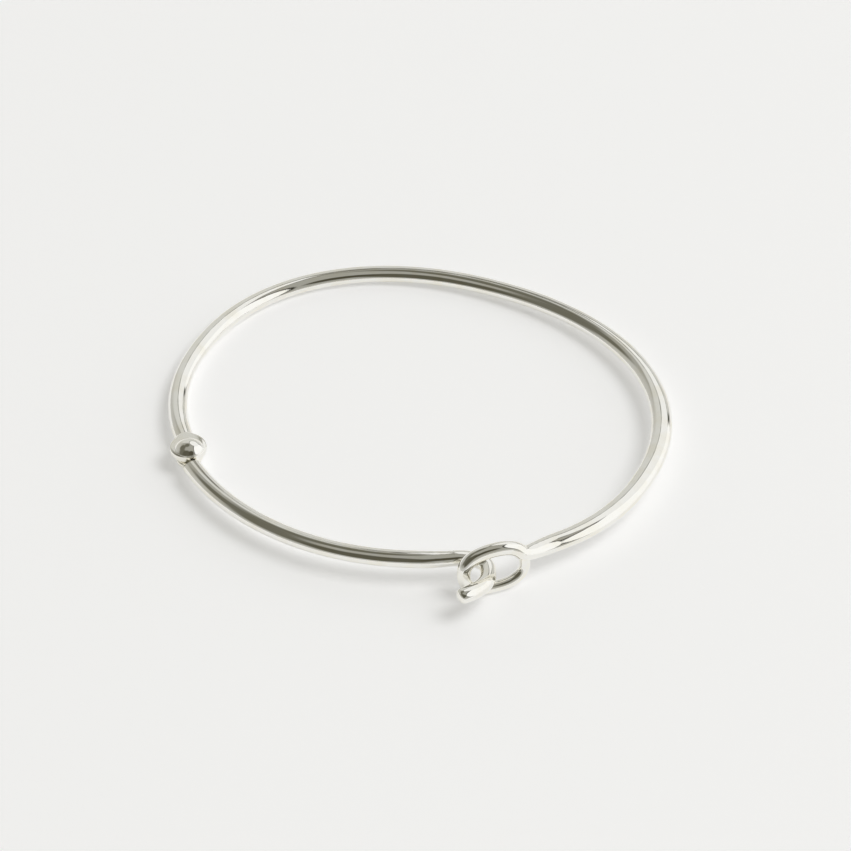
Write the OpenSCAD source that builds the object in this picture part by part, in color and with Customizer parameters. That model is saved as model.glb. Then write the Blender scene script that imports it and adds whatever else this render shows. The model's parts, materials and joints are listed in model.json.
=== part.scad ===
// Hinged silver wire bangle: a long arm that ends in an eye loop and a short
// arm that ends in a hook, joined by a lapped and riveted hinge.
// Millimetres, +Z up. The plan is drawn about the middle of the oval, then the
// whole is lifted so that its lowest point, the underside of the loop, is at zero.

/* [Oval] */
// Length of the oval, along the middle of the wire
oval_l = 61; // [54:0.5:70]
// Width of the oval, along the middle of the wire
oval_w = 52.8; // [47:0.2:60]
// Squareness of the oval: 2 is a plain ellipse
oval_n = 2.14; // [2:0.02:2.3]

/* [Wire] */
// Width of the long arm at the side away from the hinge
wire_w = 2.64; // [2.2:0.02:3]
// Width of both arms beside the hinge
wire_hinge_w = 2.4; // [2.1:0.02:2.8]
// Width of the long arm where it meets the loop
wire_eye_w = 2; // [1.7:0.02:2.3]
// Height of the wire
wire_h = 1.96; // [1.8:0.02:2.2]

/* [Short arm] */
// Bend radius of the short arm, flatter than the oval
short_r = 31.6; // [31.2:0.1:32]
// Bend centre of the short arm, along the oval
short_cx = -1.44; // [-1.7:0.02:-1.2]
// Bend centre of the short arm, across the oval
short_cy = 3.48; // [3.3:0.02:3.8]

/* [Hinge] */
// Direction of the hinge from the middle of the oval
hinge_angle = 220.7; // [219.5:0.1:222]
// How far the hinge stands outside the oval
hinge_out = 0.4; // [0:0.05:0.8]
// Radius of the upper leaf, the round end of the long arm
leaf_r = 2.3; // [2.1:0.05:2.4]
// How far the upper leaf is centred from the rivet, towards the long arm
leaf_back = 0.5; // [0.2:0.05:0.7]
// Radius of the lower leaf, the smaller round end of the short arm
under_r = 1.75; // [1.6:0.05:2]
// Thickness of one leaf
leaf_t = 0.96; // [0.9:0.01:1]
// Diameter of the rivet
rivet_d = 1.5; // [1.2:0.05:1.7]
// Clearance round the rivet in the leaf that turns
rivet_gap = 0.05; // [0.02:0.01:0.08]
// Diameter of the domed top head
head_d = 3.6; // [3:0.05:3.8]
// Height of the domed top head
head_h = 0.95; // [0.6:0.05:1]
// Diameter of the flatter bottom head
foot_d = 3; // [2.6:0.05:3.2]
// Height of the flatter bottom head
foot_h = 0.6; // [0.5:0.05:0.8]

/* [Eye loop] */
// Half length of the loop, along the middle of its wire
eye_a = 3.9; // [3.8:0.02:4]
// Half width of the loop, along the middle of its wire
eye_b = 2.56; // [2.5:0.01:2.65]
// Squareness of the loop: 2 is a plain ellipse
eye_n = 2.4; // [2:0.05:2.6]
// Heading of the loop in plan
eye_heading = 44.5; // [44:0.1:45]
// Lean of the loop from flat
eye_lean = 80; // [79:0.5:82]
// Wire radius of the loop where it leaves the arm
eye_thick_r = 0.88; // [0.8:0.01:0.92]
// Wire radius of the loop on its thin side
eye_thin_r = 0.7; // [0.6:0.01:0.74]

/* [Hook] */
// Width of the hook wire
hook_w = 2.06; // [1.9:0.02:2.1]
// Height of the hook wire
hook_h = 1.84; // [1.7:0.02:1.9]
// Length of the hook before its tight bend
hook_lead = 2.55; // [2.5:0.05:2.6]
// Radius of the tight bend
hook_bend_r = 1.45; // [1.4:0.01:1.5]
// Length of the curved prong
hook_prong = 7; // [6.6:0.1:7.4]

/* [Hidden] */
$fn = 64;

silver = [0.82, 0.82, 0.80];
bright = [0.90, 0.90, 0.88];

// The long arm leaves the oval at this angle and runs on to the loop.
leave_angle = 328 - 360;
// Centre of the loop, from the middle of the oval at wire height.
eye_x = 20.16;
eye_y = -23.07;
eye_drop = 0.2;
// How firmly the arm keeps its heading as it leaves the oval and meets the loop.
leave_pull = 2.4;
arrive_pull = 0.8;
// Where round the loop the arm runs in.
eye_join = 30;
// Where the short arm ends and the hook starts, round the bend centre.
hook_angle = 301.5;
// The hook dips under the loop's far side, then its prong rises again.
hook_start_drop = 0.12;
hook_dip = 0.74;
hook_rise = 0.95;
// Length of the hook's rounded tip.
hook_tip = 0.7;
// Turns of the hook's lead, tight bend and prong.
lead_turn = -5;
bend_turn = -84.5;
prong_turn = -70;

// Gap between the two leaves, and between the lower leaf and the bottom head.
leaf_gap = 0.04;
// Where each arm's full wire starts, measured from the rivet. The upper leaf is centred
// towards the long arm, so the short arm's wire may start nearer.
long_neck_l = leaf_r + 0.7;
short_neck_l = leaf_r + 0.2;
// Width of a leaf where it meets the wire, and how far joined pieces overlap.
neck_w = 2.1;
joint_l = 0.4;

// Middle of the wire above the surface the bangle stands on.
wire_z = eye_b * sin(eye_lean) + eye_thin_r + eye_drop;
// Lengths of the tight bend, and of the hook up to its lowest point.
bend_l = hook_bend_r * abs(bend_turn) * PI / 180;
dip_l = hook_lead + bend_l;
// Puts the middle of the bangle's outline at the origin, front to back.
front_y = min([for (p = hook_path(5, 10, 14)) p[1]]) - hook_w / 2;
shift_y = -(front_y + oval_w / 2 + wire_w / 2) / 2;

hinge_at = (oval_radius(hinge_angle) + hinge_out) * [cos(hinge_angle), sin(hinge_angle)];

// --- Curves ---

function oval_radius(t) =
    pow(pow(abs(cos(t)) / (oval_l / 2), oval_n) + pow(abs(sin(t)) / (oval_w / 2), oval_n), -1 / oval_n);

function oval_point(t) = oval_radius(t) * [cos(t), sin(t), 0];

function smooth(u) = u <= 0 ? 0 : u >= 1 ? 1 : u * u * (3 - 2 * u);

function mix(a, b, u) = a + (b - a) * u;

function unit(v) = v / norm(v);

function bezier(p0, p1, p2, p3, u) =
    pow(1 - u, 3) * p0 + 3 * pow(1 - u, 2) * u * p1 + 3 * (1 - u) * u * u * p2 + u * u * u * p3;

// Point a share u along an arc that starts at p with heading h.
function arc_point(p, h, turn, length, u) =
    let (half = turn * u / 2, radius = length / (turn * PI / 180))
    p + 2 * radius * sin(half) * [cos(h + half), sin(h + half)];

// --- Sweeps ---

// One elliptical section at p, square to the path, with its width level.
function section(p, dir, w, h, sides) =
    let (side = unit([-dir[1], dir[0], 0]), up = cross(dir, side))
    [for (i = [0 : sides - 1]) p + side * w / 2 * cos(360 * i / sides) + up * h / 2 * sin(360 * i / sides)];

// Direction of a path at point i.
function path_dir(path, i) =
    unit(path[min(i + 1, len(path) - 1)] - path[max(i - 1, 0)]);

// Sections that close the end of a sweep to a rounded tip.
function tip_sections(p, dir, w, h, sides, reach, steps) =
    [for (k = [1 : steps]) let (a = 84 * k / steps)
        section(p + dir * reach * sin(a), dir, w * cos(a), h * cos(a), sides)];

// Solid through a list of sections; a closed sweep joins the last to the first.
module skin(rings, closed) {
    n = len(rings[0]);
    m = len(rings);
    last = closed ? m - 1 : m - 2;
    sides = [for (j = [0 : last], i = [0 : n - 1], half = [0, 1])
        let (k = (j + 1) % m, a = j * n + i, b = j * n + (i + 1) % n, c = k * n + (i + 1) % n, d = k * n + i)
        half == 0 ? [a, c, b] : [a, d, c]];
    caps = closed ? [] : [[for (i = [0 : n - 1]) i], [for (i = [n - 1 : -1 : 0]) (m - 1) * n + i]];
    points = [for (ring = rings, p = ring) p];
    polyhedron(points = points, faces = concat(sides, caps), convexity = 6);
}

// --- Long arm ---

// Angle at which the full wire starts beside the hinge.
long_start = hinge_angle - long_neck_l / oval_radius(hinge_angle) * 180 / PI;
eye_c = [eye_x, eye_y, -eye_drop];
eye_u = [cos(eye_heading), sin(eye_heading), 0];
eye_v = [-sin(eye_heading) * cos(eye_lean), cos(eye_heading) * cos(eye_lean), sin(eye_lean)];

function eye_point(t) =
    let (k = pow(pow(abs(cos(t)), eye_n) + pow(abs(sin(t)), eye_n), -1 / eye_n))
    eye_c + k * (eye_a * cos(t) * eye_u + eye_b * sin(t) * eye_v);

function long_path(steps, run_steps) =
    let (leave = oval_point(leave_angle),
        out = unit(oval_point(leave_angle) - oval_point(leave_angle + 0.5)),
        arrive = unit(eye_point(eye_join + 1) - eye_point(eye_join)),
        end = eye_point(eye_join))
    concat(
        [for (i = [0 : steps]) oval_point(mix(long_start, leave_angle, i / steps))],
        [for (i = [1 : run_steps])
            bezier(leave, leave + leave_pull * out, end - arrive_pull * arrive, end, i / run_steps)]);

function long_width(u) =
    mix(mix(wire_hinge_w, wire_w, smooth(u / 0.55)), wire_eye_w, smooth((u - 0.93) / 0.07));

function long_height(u) = mix(wire_h, 2 * eye_thick_r, smooth((u - 0.93) / 0.07));

module long_arm() {
    path = long_path(72, 8);
    n = len(path) - 1;
    color(silver)
    placed()
    skin([for (i = [0 : n]) let (u = i / n)
        section(path[i], path_dir(path, i), long_width(u), long_height(u), 18)], false);
}

// Wire of the loop: thick where the arm runs in, thin round the near side.
function eye_r(t) = mix(eye_thick_r, eye_thin_r, smooth((t - 150) / 120));

module eye_loop() {
    steps = 44;
    rings = [for (j = [0 : steps - 1])
        let (t = eye_join + 360 * j / steps,
            dir = unit(eye_point(t + 1) - eye_point(t - 1)),
            flat = cross(eye_u, eye_v),
            out = cross(dir, flat),
            r = j == 0 ? mix(eye_thick_r, eye_thin_r, 0.5) : eye_r(t))
        [for (i = [0 : 13]) eye_point(t) + r * cos(360 * i / 14) * out - r * sin(360 * i / 14) * flat]];
    color(bright)
    placed()
    skin(rings, true);
}

// --- Short arm ---

function short_point(t) = [short_cx + short_r * cos(t), short_cy + short_r * sin(t)];

hinge_from_short = atan2(hinge_at[1] - short_cy, hinge_at[0] - short_cx) + 360;
short_start = hinge_from_short + short_neck_l / short_r * 180 / PI;

function short_path(steps) =
    [for (i = [0 : steps]) let (u = i / steps, p = short_point(mix(short_start, hook_angle, u)))
        [p[0], p[1], -hook_start_drop * smooth((u - 0.8) / 0.2)]];

module short_arm() {
    path = short_path(28);
    n = len(path) - 1;
    color(silver)
    placed()
    skin([for (i = [0 : n])
        let (thin = smooth((i / n - 0.9) / 0.1),
            w = mix(wire_hinge_w, hook_w, thin),
            h = mix(wire_h, hook_h, thin))
        section(path[i], path_dir(path, i), w, h, 18)], false);
}

// --- Hook ---

// Height of the hook's middle, a length s along it, against the middle of the wire.
function hook_z(s) = s < dip_l
    ? -hook_start_drop - hook_dip * (1 - cos(180 * s / dip_l)) / 2
    : -hook_start_drop - hook_dip + hook_rise * (1 - cos(180 * min(1, (s - dip_l) / hook_prong))) / 2;

function hook_path(lead_steps, bend_steps, prong_steps) =
    let (p0 = short_point(hook_angle), h0 = hook_angle + 90,
        p1 = arc_point(p0, h0, lead_turn, hook_lead, 1), h1 = h0 + lead_turn,
        p2 = arc_point(p1, h1, bend_turn, bend_l, 1), h2 = h1 + bend_turn,
        back = p0 - joint_l * [cos(h0), sin(h0)])
    concat(
        [[back[0], back[1], hook_z(0)]],
        [for (i = [0 : lead_steps])
            let (u = i / lead_steps, p = arc_point(p0, h0, lead_turn, hook_lead, u))
            [p[0], p[1], hook_z(u * hook_lead)]],
        [for (i = [1 : bend_steps])
            let (u = i / bend_steps, p = arc_point(p1, h1, bend_turn, bend_l, u))
            [p[0], p[1], hook_z(hook_lead + u * bend_l)]],
        [for (i = [1 : prong_steps])
            let (u = i / prong_steps, p = arc_point(p2, h2, prong_turn, hook_prong, u))
            [p[0], p[1], hook_z(dip_l + u * hook_prong)]]);

module hook() {
    path = hook_path(5, 10, 14);
    n = len(path) - 1;
    tip_dir = path_dir(path, n);
    body = [for (i = [0 : n])
        let (inside = i == 0 ? 0.8 : 1)
        section(path[i], path_dir(path, i), hook_w * inside, hook_h * inside, 14)];
    color(bright)
    placed()
    skin(concat(body, tip_sections(path[n], tip_dir, hook_w, hook_h, 14, hook_tip, 4)), false);
}

// --- Hinge ---

// Lifts and centres a piece drawn about the middle of the oval.
module placed() {
    translate([0, shift_y, wire_z]) children();
}

module at_hinge(z) {
    translate([hinge_at[0], hinge_at[1] + shift_y, wire_z + z]) children();
}

// A leaf of radius r, centred a little back from the rivet, that narrows along
// straight sides into the wire at neck_l. They touch the round end tangentially.
module leaf(r, back, neck_l, neck_angle, bore_d) {
    neck_reach = neck_l - back;
    touch_angle = atan2(neck_w / 2, neck_reach) + acos(r / norm([neck_reach, neck_w / 2]));
    touch = [back + r * cos(touch_angle), r * sin(touch_angle)];
    rotate([0, 0, neck_angle])
    difference() {
        union() {
            translate([back, 0, 0]) cylinder(r = r, h = leaf_t);
            linear_extrude(leaf_t)
                polygon([[touch[0], -touch[1]], [neck_l, -neck_w / 2], [neck_l + joint_l, -neck_w / 2],
                    [neck_l + joint_l, neck_w / 2], [neck_l, neck_w / 2], touch]);
        }
        translate([0, 0, -1]) cylinder(d = bore_d, h = leaf_t + 2);
    }
}

// Directions from the rivet to the start of each arm's full wire.
long_from = oval_point(long_start);
long_neck = atan2(long_from[1] - hinge_at[1], long_from[0] - hinge_at[0]);
short_from = short_point(short_start);
short_neck = atan2(short_from[1] - hinge_at[1], short_from[0] - hinge_at[0]);

module upper_leaf() {
    color(silver) at_hinge(leaf_gap / 2) leaf(leaf_r, leaf_back, long_neck_l, long_neck, rivet_d);
}

module lower_leaf() {
    color(silver) at_hinge(-leaf_gap / 2 - leaf_t)
    leaf(under_r, 0, short_neck_l, short_neck, rivet_d + 2 * rivet_gap);
}

// How far the shank stands into each head.
shank_in = 0.3;
stack_low = -leaf_gap * 1.5 - leaf_t;
stack_top = leaf_gap / 2 + leaf_t;

module rivet_shank() {
    color(bright) at_hinge(stack_low - shank_in)
    cylinder(d = rivet_d, h = stack_top - stack_low + 2 * shank_in);
}

// A domed head d across and h high: the cap of a ball, flat side at zero.
module dome(d, h) {
    ball_r = (d * d / 4 + h * h) / (2 * h);
    intersection() {
        translate([0, 0, h - ball_r]) sphere(r = ball_r);
        cylinder(d = d + 1, h = h + 1);
    }
}

module rivet_top_head() {
    color(bright) at_hinge(stack_top) dome(head_d, head_h);
}

module rivet_bottom_head() {
    color(bright) at_hinge(stack_low) mirror([0, 0, 1]) dome(foot_d, foot_h);
}

long_arm();
upper_leaf();
eye_loop();
rivet_shank();
rivet_top_head();
rivet_bottom_head();
short_arm();
lower_leaf();
hook();
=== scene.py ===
"""Looks of a hinged silver wire bangle, lying closed on a pale surface."""

import json
import math

import bpy
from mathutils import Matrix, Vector


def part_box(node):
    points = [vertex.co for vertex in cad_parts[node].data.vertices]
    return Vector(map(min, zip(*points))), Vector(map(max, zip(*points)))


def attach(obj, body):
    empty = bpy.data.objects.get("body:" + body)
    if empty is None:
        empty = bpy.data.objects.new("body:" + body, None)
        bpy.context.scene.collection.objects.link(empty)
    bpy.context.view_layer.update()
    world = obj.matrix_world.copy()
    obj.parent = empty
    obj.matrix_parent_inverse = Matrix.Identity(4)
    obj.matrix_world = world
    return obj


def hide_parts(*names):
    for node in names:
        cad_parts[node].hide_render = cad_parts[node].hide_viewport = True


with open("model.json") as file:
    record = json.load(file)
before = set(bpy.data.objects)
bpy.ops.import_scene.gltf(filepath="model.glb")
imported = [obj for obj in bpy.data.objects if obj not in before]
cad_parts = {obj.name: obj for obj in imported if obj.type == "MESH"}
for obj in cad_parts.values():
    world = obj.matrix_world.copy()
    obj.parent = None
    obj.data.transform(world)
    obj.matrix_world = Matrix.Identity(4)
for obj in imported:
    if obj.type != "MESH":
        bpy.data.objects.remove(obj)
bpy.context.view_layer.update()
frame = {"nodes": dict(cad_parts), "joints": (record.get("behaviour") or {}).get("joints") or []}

MM = 0.001

# Sizes of the CAD model, in millimetres and degrees.
OVAL_L, OVAL_W, OVAL_N = 61.0, 52.8, 2.14
WIRE_W, WIRE_HINGE_W, WIRE_EYE_W, WIRE_H = 2.64, 2.4, 2.0, 1.96
SHORT_R, SHORT_CX, SHORT_CY = 31.6, -1.44, 3.48
HINGE_ANGLE, HINGE_OUT = 220.7, 0.4
LEAF_R, LEAF_BACK, UNDER_R, LEAF_T, LEAF_GAP = 2.3, 0.5, 1.75, 0.96, 0.04
RIVET_D, RIVET_GAP = 1.5, 0.05
HEAD_D, HEAD_H, FOOT_D, FOOT_H = 3.6, 0.95, 3.0, 0.6
LONG_NECK_L, SHORT_NECK_L = LEAF_R + 0.7, LEAF_R + 0.2
EYE_A, EYE_B, EYE_N, EYE_HEADING, EYE_LEAN = 3.9, 2.56, 2.4, 44.5, 80.0
EYE_THICK_R, EYE_THIN_R = 0.88, 0.7
EYE_X, EYE_Y, EYE_DROP, EYE_JOIN = 20.16, -23.07, 0.2, 30.0
LEAVE_ANGLE, LEAVE_PULL, ARRIVE_PULL = -32.0, 2.4, 0.8
HOOK_W, HOOK_H, HOOK_LEAD, HOOK_BEND_R, HOOK_PRONG = 2.06, 1.84, 2.55, 1.45, 7.0
HOOK_ANGLE, HOOK_START_DROP, HOOK_DIP, HOOK_RISE = 301.5, 0.12, 0.74, 0.95
LEAD_TURN, BEND_TURN, PRONG_TURN, HOOK_TIP = -5.0, -84.5, -70.0, 0.7


# --- Small maths ---

def smooth(u):
    u = min(1.0, max(0.0, u))
    return u * u * (3 - 2 * u)


def mix(a, b, u):
    return a + (b - a) * u


def rad(d):
    return math.radians(d)


def bezier(p0, p1, p2, p3, u):
    v = 1 - u
    return p0 * v**3 + p1 * (3 * v * v * u) + p2 * (3 * v * u * u) + p3 * u**3


def oval_radius(t):
    c, s = abs(math.cos(rad(t))) / (OVAL_L / 2), abs(math.sin(rad(t))) / (OVAL_W / 2)
    return (c**OVAL_N + s**OVAL_N) ** (-1 / OVAL_N)


def oval_point(t):
    r = oval_radius(t)
    return Vector((r * math.cos(rad(t)), r * math.sin(rad(t)), 0))


def short_point(t):
    return Vector((SHORT_CX + SHORT_R * math.cos(rad(t)), SHORT_CY + SHORT_R * math.sin(rad(t)), 0))


def arc_point(p, heading, turn, length, u):
    half = rad(turn * u / 2)
    reach = 2 * length / rad(turn) * math.sin(half)
    return p + reach * Vector((math.cos(rad(heading) + half), math.sin(rad(heading) + half), 0))


EYE_C = Vector((EYE_X, EYE_Y, -EYE_DROP))
EYE_U = Vector((math.cos(rad(EYE_HEADING)), math.sin(rad(EYE_HEADING)), 0))
EYE_V = Vector((
    -math.sin(rad(EYE_HEADING)) * math.cos(rad(EYE_LEAN)),
    math.cos(rad(EYE_HEADING)) * math.cos(rad(EYE_LEAN)),
    math.sin(rad(EYE_LEAN)),
))


def eye_point(t):
    c, s = math.cos(rad(t)), math.sin(rad(t))
    k = (abs(c)**EYE_N + abs(s)**EYE_N) ** (-1 / EYE_N)
    return EYE_C + k * (EYE_A * c * EYE_U + EYE_B * s * EYE_V)


HINGE = (oval_radius(HINGE_ANGLE) + HINGE_OUT) * Vector(
    (math.cos(rad(HINGE_ANGLE)), math.sin(rad(HINGE_ANGLE)), 0)
)
LONG_START = HINGE_ANGLE - math.degrees(LONG_NECK_L / oval_radius(HINGE_ANGLE))
SHORT_START = (
    math.degrees(math.atan2(HINGE.y - SHORT_CY, HINGE.x - SHORT_CX)) + 360
    + math.degrees(SHORT_NECK_L / SHORT_R)
)

# Where the drawing above lies in the frame: the joint gives its place in plan,
# and the top of the short arm's wire its height.
JOINT_AT = Vector(frame["joints"][0]["pos_m"]) / MM
LIFT = Vector((
    JOINT_AT.x - HINGE.x,
    JOINT_AT.y - HINGE.y,
    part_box("short_arm")[1].z / MM - WIRE_H / 2,
))


# --- Meshes ---

def ellipse(at, side, up, w, h, count, power=2.0):
    """Points of one section; a power above 2 squares it off."""
    ring = []
    for i in range(count):
        a = 2 * math.pi * i / count
        c, s = math.cos(a), math.sin(a)
        x = math.copysign(abs(c) ** (2 / power), c)
        y = math.copysign(abs(s) ** (2 / power), s)
        ring.append(at + side * (w / 2 * x) + up * (h / 2 * y))
    return ring


def axes(direction):
    """Side and up of a section square to direction, with the side level."""
    side = Vector((-direction.y, direction.x, 0)).normalized()
    return side, direction.cross(side).normalized()


def headings(path):
    last = len(path) - 1
    return [
        (path[min(i + 1, last)] - path[max(i - 1, 0)]).normalized()
        for i in range(last + 1)
    ]


def make_piece(name, points, faces, body, nodes, material, uvs=None, rim=0):
    """A smooth mesh in the frame, riding on body and standing for CAD nodes.
    rim is how many points go round each of its two flat ends."""
    mesh = bpy.data.meshes.new(name)
    mesh.from_pydata([(p + LIFT) * MM for p in points], [], faces)
    mesh.validate()
    mesh.update()
    mesh.polygons.foreach_set("use_smooth", [True] * len(mesh.polygons))
    for edge in mesh.edges:
        ends = edge.vertices
        edge.use_edge_sharp = max(ends) < rim or min(ends) >= len(points) - rim
    if uvs:
        layer = mesh.uv_layers.new(name="along")
        for loop in mesh.loops:
            layer.data[loop.index].uv = uvs[loop.vertex_index]
    mesh.materials.append(material)
    piece = bpy.data.objects.new(name, mesh)
    bpy.context.scene.collection.objects.link(piece)
    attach(piece, body)
    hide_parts(*nodes)
    return piece


def tube(rings, closed=False):
    """Points, faces and lengthwise coordinates of a skin through rings."""
    n, m = len(rings[0]), len(rings)
    points = [p for ring in rings for p in ring]
    faces = []
    for j in range(m if closed else m - 1):
        k = (j + 1) % m
        for i in range(n):
            a = (i + 1) % n
            faces.append((j * n + i, j * n + a, k * n + a, k * n + i))
    if not closed:
        faces.append(tuple(range(n - 1, -1, -1)))
        faces.append(tuple((m - 1) * n + i for i in range(n)))
    middles = [sum(ring, Vector()) / n for ring in rings]
    run, uvs = 0.0, []
    for j in range(m):
        run += (middles[j] - middles[j - 1]).length if j else 0.0
        girth = (rings[j][0] - middles[j]).length * 2 * math.pi
        uvs += [(run, girth * i / n) for i in range(n)]
    return points, faces, uvs


def hand(s, seed):
    """A small smooth variation along a hand-worked wire, from -1 to 1."""
    return (
        0.5 * math.sin(0.31 * s + seed)
        + 0.3 * math.sin(0.73 * s + 2.1 * seed)
        + 0.2 * math.sin(1.37 * s + 3.7 * seed)
    )


# Points round a wire, how uneven the hand-worked wire is as a share of its
# width, and how far from a seam that takes to reach its full amount.
SIDES = 56
WORKED = 0.006
SEAM_L = 3.0
# Width of a leaf where it meets the wire.
NECK_W = 2.1
# Distance from the rivet beyond which each leaf may thicken past the other one.
LONG_CLEAR, SHORT_CLEAR = LEAF_R + 0.15, LEAF_R - 0.05


# --- Materials ---

def silver(name, tint, roughness, streak, dent):
    """Polished sterling silver: fine polishing streaks, soft handling marks, slight unevenness."""
    material = bpy.data.materials.new(name)
    material.use_nodes = True
    nodes, links = material.node_tree.nodes, material.node_tree.links
    shader = nodes["Principled BSDF"]
    shader.inputs["Metallic"].default_value = 1.0

    where = nodes.new("ShaderNodeTexCoord")

    def noise(source, scale, stretch, detail):
        mapping = nodes.new("ShaderNodeMapping")
        mapping.inputs["Scale"].default_value = stretch
        links.new(where.outputs[source], mapping.inputs["Vector"])
        made = nodes.new("ShaderNodeTexNoise")
        made.inputs["Scale"].default_value = scale
        made.inputs["Detail"].default_value = detail
        links.new(mapping.outputs["Vector"], made.inputs["Vector"])
        return made.outputs["Fac"]

    def ranged(value, low, high, to_low, to_high):
        made = nodes.new("ShaderNodeMapRange")
        made.inputs["From Min"].default_value = low
        made.inputs["From Max"].default_value = high
        made.inputs["To Min"].default_value = to_low
        made.inputs["To Max"].default_value = to_high
        links.new(value, made.inputs["Value"])
        return made.outputs["Result"]

    streaks = noise("UV", 1.0, (0.35, 9.0, 1.0), 4.0)
    smudges = noise("Object", 420.0, (1.0, 1.0, 1.0), 3.0)
    ripples = noise("Object", 150.0, (1.0, 1.0, 1.0), 1.0)

    colour = nodes.new("ShaderNodeMix")
    colour.data_type = "RGBA"
    colour.inputs["A"].default_value = (*tint, 1.0)
    colour.inputs["B"].default_value = (tint[0] * 0.97, tint[1] * 0.955, tint[2] * 0.91, 1.0)
    links.new(ranged(smudges, 0.42, 0.7, 0.0, 1.0), colour.inputs["Factor"])
    links.new(colour.outputs["Result"], shader.inputs["Base Color"])

    total = nodes.new("ShaderNodeMath")
    total.operation = "ADD"
    links.new(ranged(smudges, 0.4, 0.75, roughness, roughness * 2.2), total.inputs[0])
    links.new(ranged(streaks, 0.5, 0.8, 0.0, roughness), total.inputs[1])
    links.new(total.outputs["Value"], shader.inputs["Roughness"])

    fine = nodes.new("ShaderNodeBump")
    fine.inputs["Strength"].default_value = streak
    fine.inputs["Distance"].default_value = 0.00002
    links.new(streaks, fine.inputs["Height"])
    broad = nodes.new("ShaderNodeBump")
    broad.inputs["Strength"].default_value = dent
    broad.inputs["Distance"].default_value = 0.0002
    links.new(ripples, broad.inputs["Height"])
    links.new(fine.outputs["Normal"], broad.inputs["Normal"])
    links.new(broad.outputs["Normal"], shader.inputs["Normal"])
    return material


WIRE_SILVER = silver("wire_silver", (0.955, 0.945, 0.905), 0.035, 0.12, 0.10)
HINGE_SILVER = silver("hinge_silver", (0.945, 0.935, 0.89), 0.05, 0.10, 0.12)
RIVET_SILVER = silver("rivet_silver", (0.965, 0.955, 0.92), 0.03, 0.0, 0.10)
CLASP_SILVER = silver("clasp_silver", (0.955, 0.945, 0.905), 0.035, 0.10, 0.12)


# --- Long arm and its loop ---

def long_arm():
    leave, before = oval_point(LEAVE_ANGLE), oval_point(LEAVE_ANGLE + 0.5)
    out = (leave - before).normalized()
    end = eye_point(EYE_JOIN)
    arrive = (eye_point(EYE_JOIN + 1) - end).normalized()
    steps, run_steps, inside_steps, inside_angle = 420, 60, 24, 40
    path = [oval_point(mix(LONG_START, LEAVE_ANGLE, i / steps)) for i in range(steps + 1)]
    path += [
        bezier(leave, leave + out * LEAVE_PULL, end - arrive * ARRIVE_PULL, end, i / run_steps)
        for i in range(1, run_steps + 1)
    ]
    whole = len(path) - 1
    path += [
        eye_point(EYE_JOIN + inside_angle * i / inside_steps)
        for i in range(1, inside_steps + 1)
    ]
    rings, s = [], 0.0
    oval_run = 0.93
    for i, (p, d) in enumerate(zip(path, headings(path))):
        if i:
            s += (p - path[i - 1]).length
        u = min(i, steps) / steps * oval_run
        u += max(0, min(i, whole) - steps) / run_steps * (1 - oval_run)
        w = mix(WIRE_HINGE_W, WIRE_W, smooth(u / 0.55))
        w = mix(w, WIRE_EYE_W, smooth((u - oval_run) / (1 - oval_run)))
        h = mix(WIRE_H, 2 * EYE_THICK_R, smooth((u - oval_run) / (1 - oval_run)))
        sunk = smooth(max(0, i - whole) / inside_steps)
        w, h = mix(w, 2 * EYE_THICK_R * 0.97, sunk), mix(h, 2 * EYE_THICK_R * 0.97, sunk)
        side, up = axes(d)
        fade = smooth(s / SEAM_L)
        w *= 1 + WORKED * fade * hand(s, 1.0)
        h *= 1 + WORKED * fade * hand(s, 4.0)
        rings.append(ellipse(p, side, up, w, h, SIDES))
    points, faces, uvs = tube(rings)
    make_piece(
        "long_arm_wire", points, faces, "long_arm", ["long_arm"],
        WIRE_SILVER, uvs, SIDES,
    )


def eye_loop():
    steps = 200
    flat = EYE_U.cross(EYE_V)
    rings = []
    for j in range(steps):
        t = EYE_JOIN + 360 * j / steps
        d = (eye_point(t + 1) - eye_point(t - 1)).normalized()
        r = mix(EYE_THICK_R, EYE_THIN_R, smooth((t - 150) / 120))
        r = mix(r, EYE_THICK_R * 0.93, smooth((j / steps - 0.965) / 0.035))
        r *= 1 + 1.5 * WORKED * hand(t / 14, 2.0)
        rings.append(ellipse(eye_point(t), d.cross(flat), -flat, 2 * r, 2 * r, SIDES))
    points, faces, uvs = tube(rings, closed=True)
    make_piece(
        "eye_loop_wire", points, faces, "long_arm", ["eye_loop"],
        CLASP_SILVER, uvs,
    )


# --- Short arm and its hook ---

def short_arm():
    steps = 260
    path = []
    for i in range(steps + 1):
        u = i / steps
        p = short_point(mix(SHORT_START, HOOK_ANGLE, u))
        p.z = -HOOK_START_DROP * smooth((u - 0.8) / 0.2)
        path.append(p)
    rings, s = [], 0.0
    for i, (p, d) in enumerate(zip(path, headings(path))):
        if i:
            s += (p - path[i - 1]).length
        thin = smooth((i / steps - 0.9) / 0.1)
        side, up = axes(d)
        fade = WORKED * smooth(s / SEAM_L) * smooth((1 - i / steps) * 8)
        w = mix(WIRE_HINGE_W, HOOK_W, thin) * (1 + fade * hand(s, 6.0))
        h = mix(WIRE_H, HOOK_H, thin) * (1 + fade * hand(s, 9.0))
        rings.append(ellipse(p, side, up, w, h, SIDES))
    points, faces, uvs = tube(rings)
    make_piece(
        "short_arm_wire", points, faces, "short_arm", ["short_arm"],
        WIRE_SILVER, uvs, SIDES,
    )


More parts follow.
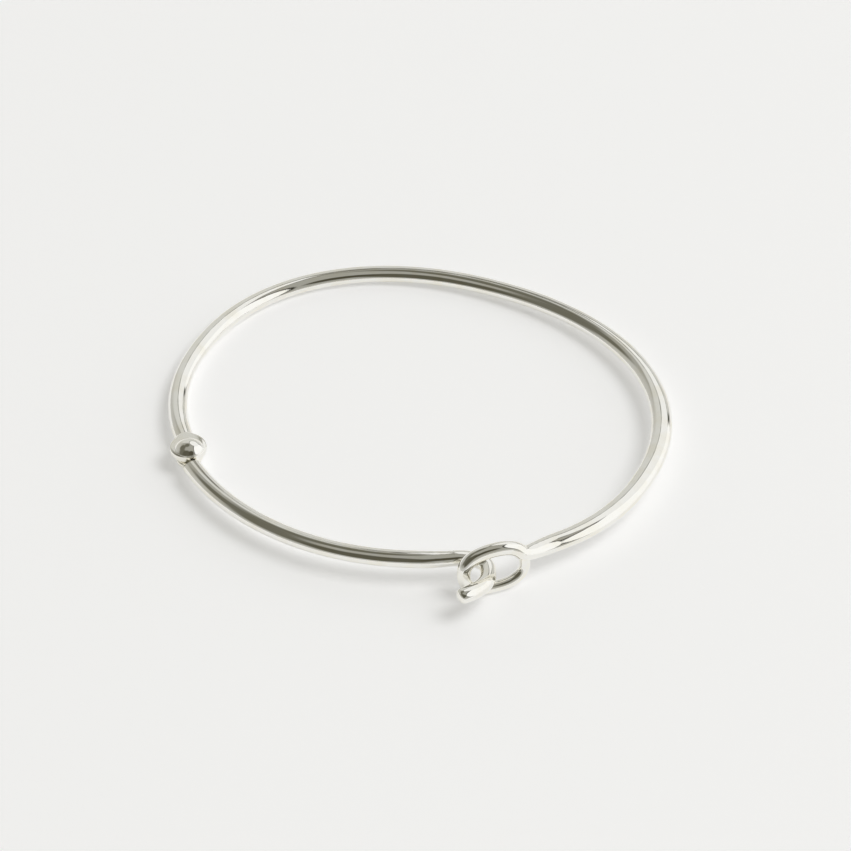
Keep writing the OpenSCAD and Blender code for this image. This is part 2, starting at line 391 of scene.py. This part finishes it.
def hook():
    bend_l = HOOK_BEND_R * abs(rad(BEND_TURN))
    dip_l = HOOK_LEAD + bend_l
    tail = dip_l + HOOK_PRONG

    def level(s):
        if s < dip_l:
            return -HOOK_START_DROP - HOOK_DIP * (1 - math.cos(math.pi * s / dip_l)) / 2
        rise = HOOK_RISE * (1 - math.cos(math.pi * min(1, (s - dip_l) / HOOK_PRONG))) / 2
        return -HOOK_START_DROP - HOOK_DIP + rise

    p0, h0 = short_point(HOOK_ANGLE), HOOK_ANGLE + 90
    p1, h1 = arc_point(p0, h0, LEAD_TURN, HOOK_LEAD, 1), h0 + LEAD_TURN
    p2, h2 = arc_point(p1, h1, BEND_TURN, bend_l, 1), h1 + BEND_TURN
    path, runs = [], []
    steps = 150
    for i in range(steps + 1):
        s = tail * i / steps
        if s < HOOK_LEAD:
            p = arc_point(p0, h0, LEAD_TURN, HOOK_LEAD, s / HOOK_LEAD)
        elif s < dip_l:
            p = arc_point(p1, h1, BEND_TURN, bend_l, (s - HOOK_LEAD) / bend_l)
        else:
            p = arc_point(p2, h2, PRONG_TURN, HOOK_PRONG, (s - dip_l) / HOOK_PRONG)
        p.z = level(s)
        path.append(p)
        runs.append(s)
    rings = []
    for p, d, s in zip(path, headings(path), runs):
        side, up = axes(d)
        k = 1 + WORKED * smooth(s / SEAM_L) * hand(s, 3.0)
        rings.append(ellipse(p, side, up, HOOK_W * k, HOOK_H * k, SIDES))
    p, d = path[-1], headings(path)[-1]
    side, up = axes(d)
    tip_steps = 16
    for i in range(1, tip_steps + 1):
        a = rad(88 * i / tip_steps)
        k = math.cos(a) ** 0.85
        at = p + d * (HOOK_TIP * math.sin(a))
        rings.append(ellipse(at, side, up, HOOK_W * k, HOOK_H * k, SIDES))
    points, faces, uvs = tube(rings)
    make_piece(
        "hook_wire", points, faces, "short_arm", ["hook"],
        CLASP_SILVER, uvs, SIDES,
    )


# --- Hinge ---

def leaf(name, upper, radius, back, square, clear, start, tangent, body, node):
    """A round lapped leaf, centred back from the rivet, that swells into its arm's wire."""
    inner, outer = LEAF_GAP / 2, LEAF_GAP / 2 + LEAF_T
    flush, far = WIRE_H / 2, -WIRE_H / 2
    if not upper:
        inner, outer, flush, far = -inner, -outer, -flush, -far
    neck = (start - HINGE).normalized()
    reach = (start - HINGE).length - back
    middle = HINGE + neck * back
    rim, along, round_r, shoulder = 90, 90, 0.22, 0.8 * reach
    places = [-radius * math.cos(math.pi / 2 * i / rim) for i in range(1, rim)]
    places += [reach * i / along for i in range(along + 1)]
    rings = []
    for d in places:
        bent = middle + neck * d
        if d > 0:
            pull = reach / 3
            bent = bezier(middle, middle + neck * pull, start - tangent * pull, start, d / reach)
        disc = math.sqrt(max(0.0, radius**2 - d * d)) * 2
        blend = smooth((d - shoulder) / (reach - shoulder))
        waist = mix(NECK_W, WIRE_HINGE_W, blend)
        w = disc if d < 0 else (disc**8 + waist**8) ** (1 / 8)
        top = mix(outer, flush, blend)
        under = mix(inner, far, smooth((back + d - clear) / (back + reach - clear)))
        edge = max(0.0, round_r - (radius + d))
        drop = round_r - math.sqrt(max(0.0, round_r**2 - edge**2))
        drop = math.copysign(drop, top - under)
        top, under = top - drop, under + drop
        side = Vector((-neck.y, neck.x, 0))
        if d > 0:
            side = mix(side, Vector((-tangent.y, tangent.x, 0)), smooth(d / reach)).normalized()
        at = Vector((bent.x, bent.y, (top + under) / 2))
        h = abs(top - under)
        rings.append(ellipse(at, side, Vector((0, 0, 1)), w, h, SIDES, mix(square, 2.0, blend)))
    points, faces, uvs = tube(rings)
    return make_piece(
        name, points, faces, body, [node],
        HINGE_SILVER, uvs, SIDES,
    )


def bore(piece, diameter):
    """Cuts the rivet's hole through a leaf."""
    mesh = bpy.data.meshes.new("bore")
    count, reach = 64, 4.0
    ring = [
        Vector((math.cos(2 * math.pi * i / count), math.sin(2 * math.pi * i / count), 0)) * (diameter / 2)
        for i in range(count)
    ]
    points = [HINGE + p + Vector((0, 0, z)) for z in (-reach, reach) for p in ring]
    faces = [(i, (i + 1) % count, count + (i + 1) % count, count + i) for i in range(count)]
    faces += [tuple(range(count - 1, -1, -1)), tuple(range(count, 2 * count))]
    mesh.from_pydata([(p + LIFT) * MM for p in points], [], faces)
    cutter = bpy.data.objects.new("bore", mesh)
    bpy.context.scene.collection.objects.link(cutter)
    cut = piece.modifiers.new("bore", "BOOLEAN")
    cut.operation, cut.object, cut.solver = "DIFFERENCE", cutter, "EXACT"
    bpy.context.view_layer.update()
    cut_piece = piece.evaluated_get(bpy.context.evaluated_depsgraph_get())
    made = bpy.data.meshes.new_from_object(cut_piece)
    piece.modifiers.remove(cut)
    piece.data = made
    bpy.data.objects.remove(cutter)


def dome(name, base_z, up, wide, high, node):
    """A domed rivet head with a small rounded rim, turned about the hinge axis."""
    ball_r = (wide**2 / 4 + high**2) / (2 * high)
    rim_r, lip = 0.07, 0.04
    half = math.asin((wide / 2 - rim_r) / ball_r)
    profile = []
    steps = 40
    for i in range(1, steps + 1):
        a = half * i / steps
        profile.append((ball_r * math.sin(a), high - ball_r * (1 - math.cos(a))))
    turn_steps = 8
    x0, z0 = profile[-1]
    for i in range(1, turn_steps + 1):
        a = i / turn_steps
        profile.append((mix(x0, wide / 2, math.sin(a * math.pi / 2)), mix(z0, lip, a * a)))
    profile.append((wide / 2, 0.0))
    count = 96
    points = [HINGE + Vector((0, 0, base_z + up * high))]
    for r, z in profile:
        for i in range(count):
            a = up * 2 * math.pi * i / count
            points.append(HINGE + Vector((r * math.cos(a), r * math.sin(a), base_z + up * z)))
    faces = [(0, 1 + i, 1 + (i + 1) % count) for i in range(count)]
    for j in range(len(profile) - 1):
        a, b = 1 + j * count, 1 + (j + 1) * count
        faces += [(a + i, b + i, b + (i + 1) % count, a + (i + 1) % count) for i in range(count)]
    last = 1 + (len(profile) - 1) * count
    faces.append(tuple(last + i for i in range(count - 1, -1, -1)))
    piece = make_piece(name, points, faces, "long_arm", [node], RIVET_SILVER)
    piece.data.polygons[len(faces) - 1].use_smooth = False


long_arm()
eye_loop()
short_arm()
hook()

long_from, short_from = oval_point(LONG_START), short_point(SHORT_START)
long_tangent = (oval_point(LONG_START - 0.5) - long_from).normalized()
short_tangent = (short_point(SHORT_START + 0.5) - short_from).normalized()
upper = leaf(
    "upper_leaf_forged", True, LEAF_R, LEAF_BACK, 6.0, LONG_CLEAR,
    long_from, long_tangent, "long_arm", "upper_leaf",
)
bore(upper, RIVET_D)
lower = leaf(
    "lower_leaf_forged", False, UNDER_R, 0.0, 2.8, SHORT_CLEAR,
    short_from, short_tangent, "short_arm", "lower_leaf",
)
bore(lower, RIVET_D + 2 * RIVET_GAP)
dome("rivet_top_dome", LEAF_T + LEAF_GAP / 2, 1, HEAD_D, HEAD_H, "rivet_top_head")
dome("rivet_bottom_dome", -LEAF_T - LEAF_GAP * 1.5, -1, FOOT_D, FOOT_H, "rivet_bottom_head")

shank = frame["nodes"]["rivet_shank"]
shank.data.materials.clear()
shank.data.materials.append(RIVET_SILVER)


# --- Camera ---

AZIMUTH, ELEVATION, DISTANCE = 24.2, 40.0, 0.48
LENS = 162.4
# From the middle of the oval to the point the camera stands over, and how far
# to the right of it and below it the middle of the view lies.
LOOK = Vector((-0.16, -0.5, 0))
VIEW_RIGHT, VIEW_DOWN = 1.16, 1.76

right = Vector((math.cos(rad(AZIMUTH)), math.sin(rad(AZIMUTH)), 0))
away = Vector((-right.y, right.x, 0))
back = -away * math.cos(rad(ELEVATION)) + Vector((0, 0, math.sin(rad(ELEVATION))))
camera = bpy.data.objects.new("camera", bpy.data.cameras.new("camera"))
bpy.context.scene.collection.objects.link(camera)
camera.data.lens = LENS
camera.data.clip_start, camera.data.clip_end = 0.01, 20.0
target = (LIFT + LOOK) * MM
camera.location = target + back * DISTANCE
aim = target + (right * VIEW_RIGHT - back.cross(right) * VIEW_DOWN) * MM
camera.rotation_mode = "QUATERNION"
camera.rotation_quaternion = (aim - camera.location).to_track_quat("-Z", "Y")
bpy.context.scene.camera = camera


# --- Surface it lies on ---

# The bangle stands on the bottom of its loop and, opposite that, on the long
# arm's wire, so the surface leans a little from the frame's level.
loop_low, loop_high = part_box("eye_loop")
stand = Vector(((loop_low.x + loop_high.x) / 2, (loop_low.y + loop_high.y) / 2, loop_low.z))
across = Vector((-stand.x, -stand.y, 0)).normalized()
far = oval_point(math.degrees(math.atan2(across.y, across.x))) * MM
wire_under = (LIFT.z - WIRE_H / 2) * MM
slope = wire_under / (far - stand).dot(across)


def surface(name, size, material):
    mesh = bpy.data.meshes.new(name)
    points = []
    for j in (0, 1):
        for i in (0, 1):
            p = right * (i - 0.5) * size + away * (j - 0.5) * size
            points.append((p.x, p.y, (Vector((p.x, p.y, 0)) - stand).dot(across) * slope))
    mesh.from_pydata(points, [], [(0, 1, 3, 2)])
    mesh.materials.append(material)
    made = bpy.data.objects.new(name, mesh)
    bpy.context.scene.collection.objects.link(made)
    return made


def paper():
    material = bpy.data.materials.new("pale_paper")
    material.use_nodes = True
    nodes, links = material.node_tree.nodes, material.node_tree.links
    shader = nodes["Principled BSDF"]
    shader.inputs["Base Color"].default_value = (0.80, 0.80, 0.81, 1)
    shader.inputs["Roughness"].default_value = 0.75
    shader.inputs["Specular IOR Level"].default_value = 0.2
    shader.inputs["Emission Color"].default_value = (1.0, 1.0, 0.99, 1)
    shader.inputs["Emission Strength"].default_value = 0.285
    where = nodes.new("ShaderNodeTexCoord")
    grain = nodes.new("ShaderNodeTexNoise")
    grain.inputs["Scale"].default_value = 900.0
    grain.inputs["Detail"].default_value = 5.0
    links.new(where.outputs["Object"], grain.inputs["Vector"])
    bump = nodes.new("ShaderNodeBump")
    bump.inputs["Strength"].default_value = 0.04
    bump.inputs["Distance"].default_value = 0.0002
    links.new(grain.outputs["Fac"], bump.inputs["Height"])
    links.new(bump.outputs["Normal"], shader.inputs["Normal"])
    return material


surface("table", 6.0, paper())


# --- Light ---

def direction(bearing, elevation):
    """Bearing 0 is the camera's right, 90 away from it, 180 its left, 270 towards it."""
    level = right * math.cos(rad(bearing)) + away * math.sin(rad(bearing))
    return level * math.cos(rad(elevation)) + Vector((0, 0, math.sin(rad(elevation))))


# The studio brightens towards the horizon, between these two elevations.
HORIZON_TOP, HORIZON_FULL = 16, 5
HORIZON_TONE, HORIZON_SHARE = (0.60, 0.60, 0.58), 0.85


def room(base, patches):
    """The studio round the object: a plain tone with soft-edged patches of light
    and dark. A patch is a bearing, an elevation, the angles from its middle at
    which it is full and gone, and its tone."""
    world = bpy.data.worlds.new("studio")
    bpy.context.scene.world = world
    world.use_nodes = True
    nodes, links = world.node_tree.nodes, world.node_tree.links
    shader = nodes["Background"]
    where = nodes.new("ShaderNodeTexCoord")
    current = nodes.new("ShaderNodeRGB").outputs[0]
    current.default_value = (*base, 1)
    for bearing, elevation, inner, outer, tone in patches:
        dot = nodes.new("ShaderNodeVectorMath")
        dot.operation = "DOT_PRODUCT"
        links.new(where.outputs["Generated"], dot.inputs[0])
        dot.inputs[1].default_value = direction(bearing, elevation)
        share = nodes.new("ShaderNodeMapRange")
        share.interpolation_type = "SMOOTHSTEP"
        share.inputs["From Min"].default_value = math.cos(rad(outer))
        share.inputs["From Max"].default_value = math.cos(rad(inner))
        links.new(dot.outputs["Value"], share.inputs["Value"])
        blend = nodes.new("ShaderNodeMix")
        blend.data_type = "RGBA"
        links.new(share.outputs["Result"], blend.inputs["Factor"])
        links.new(current, blend.inputs["A"])
        blend.inputs["B"].default_value = (*tone, 1)
        current = blend.outputs["Result"]
    split = nodes.new("ShaderNodeSeparateXYZ")
    links.new(where.outputs["Generated"], split.inputs["Vector"])
    share = nodes.new("ShaderNodeMapRange")
    share.interpolation_type = "SMOOTHSTEP"
    share.inputs["From Min"].default_value = math.sin(rad(HORIZON_TOP))
    share.inputs["From Max"].default_value = math.sin(rad(HORIZON_FULL))
    share.inputs["To Max"].default_value = HORIZON_SHARE
    links.new(split.outputs["Z"], share.inputs["Value"])
    blend = nodes.new("ShaderNodeMix")
    blend.data_type = "RGBA"
    blend.blend_type = "LIGHTEN"
    links.new(share.outputs["Result"], blend.inputs["Factor"])
    links.new(current, blend.inputs["A"])
    blend.inputs["B"].default_value = (*HORIZON_TONE, 1)
    links.new(blend.outputs["Result"], shader.inputs["Color"])
    shader.inputs["Strength"].default_value = 1.0


DARK = (0.075, 0.07, 0.05)
DIM = (0.145, 0.14, 0.11)
WHITE = (1.0, 1.0, 0.99)
FRAME = (0.04, 0.038, 0.028)

# The back, the ceiling, the dark side towards the camera, and two windows in
# thin dark frames.
room((0.36, 0.355, 0.32), [
    (90, 14, 36, 39, (0.64, 0.64, 0.61)),
    (150, 8, 16, 40, (0.50, 0.495, 0.46)),
    (118, 68, 9, 16, DIM),
    (165, 52, 12, 22, DIM),
    (205, 42, 14, 26, DIM),
    (250, 42, 22, 32, (0.10, 0.095, 0.07)),
    (296, 50, 12, 19, DARK),
    (8, 22, 41.5, 43, FRAME),
    (60, 42, 22.5, 24, (0.20, 0.195, 0.165)),
    (8, 22, 38, 40, WHITE),
    (60, 42, 20, 21.5, (0.88, 0.88, 0.87)),
])

key = bpy.data.objects.new("window", bpy.data.lights.new("window", "AREA"))
bpy.context.scene.collection.objects.link(key)
key.data.shape = "RECTANGLE"
key.data.size, key.data.size_y = 1.3, 1.3
key.data.energy = 24.0
key.visible_glossy = False
key.location = direction(-10, 58) * 2.5
key.rotation_mode = "QUATERNION"
key.rotation_quaternion = (-key.location).to_track_quat("-Z", "Y")

view = bpy.context.scene.view_settings
view.view_transform = "Standard"
view.look = "None"
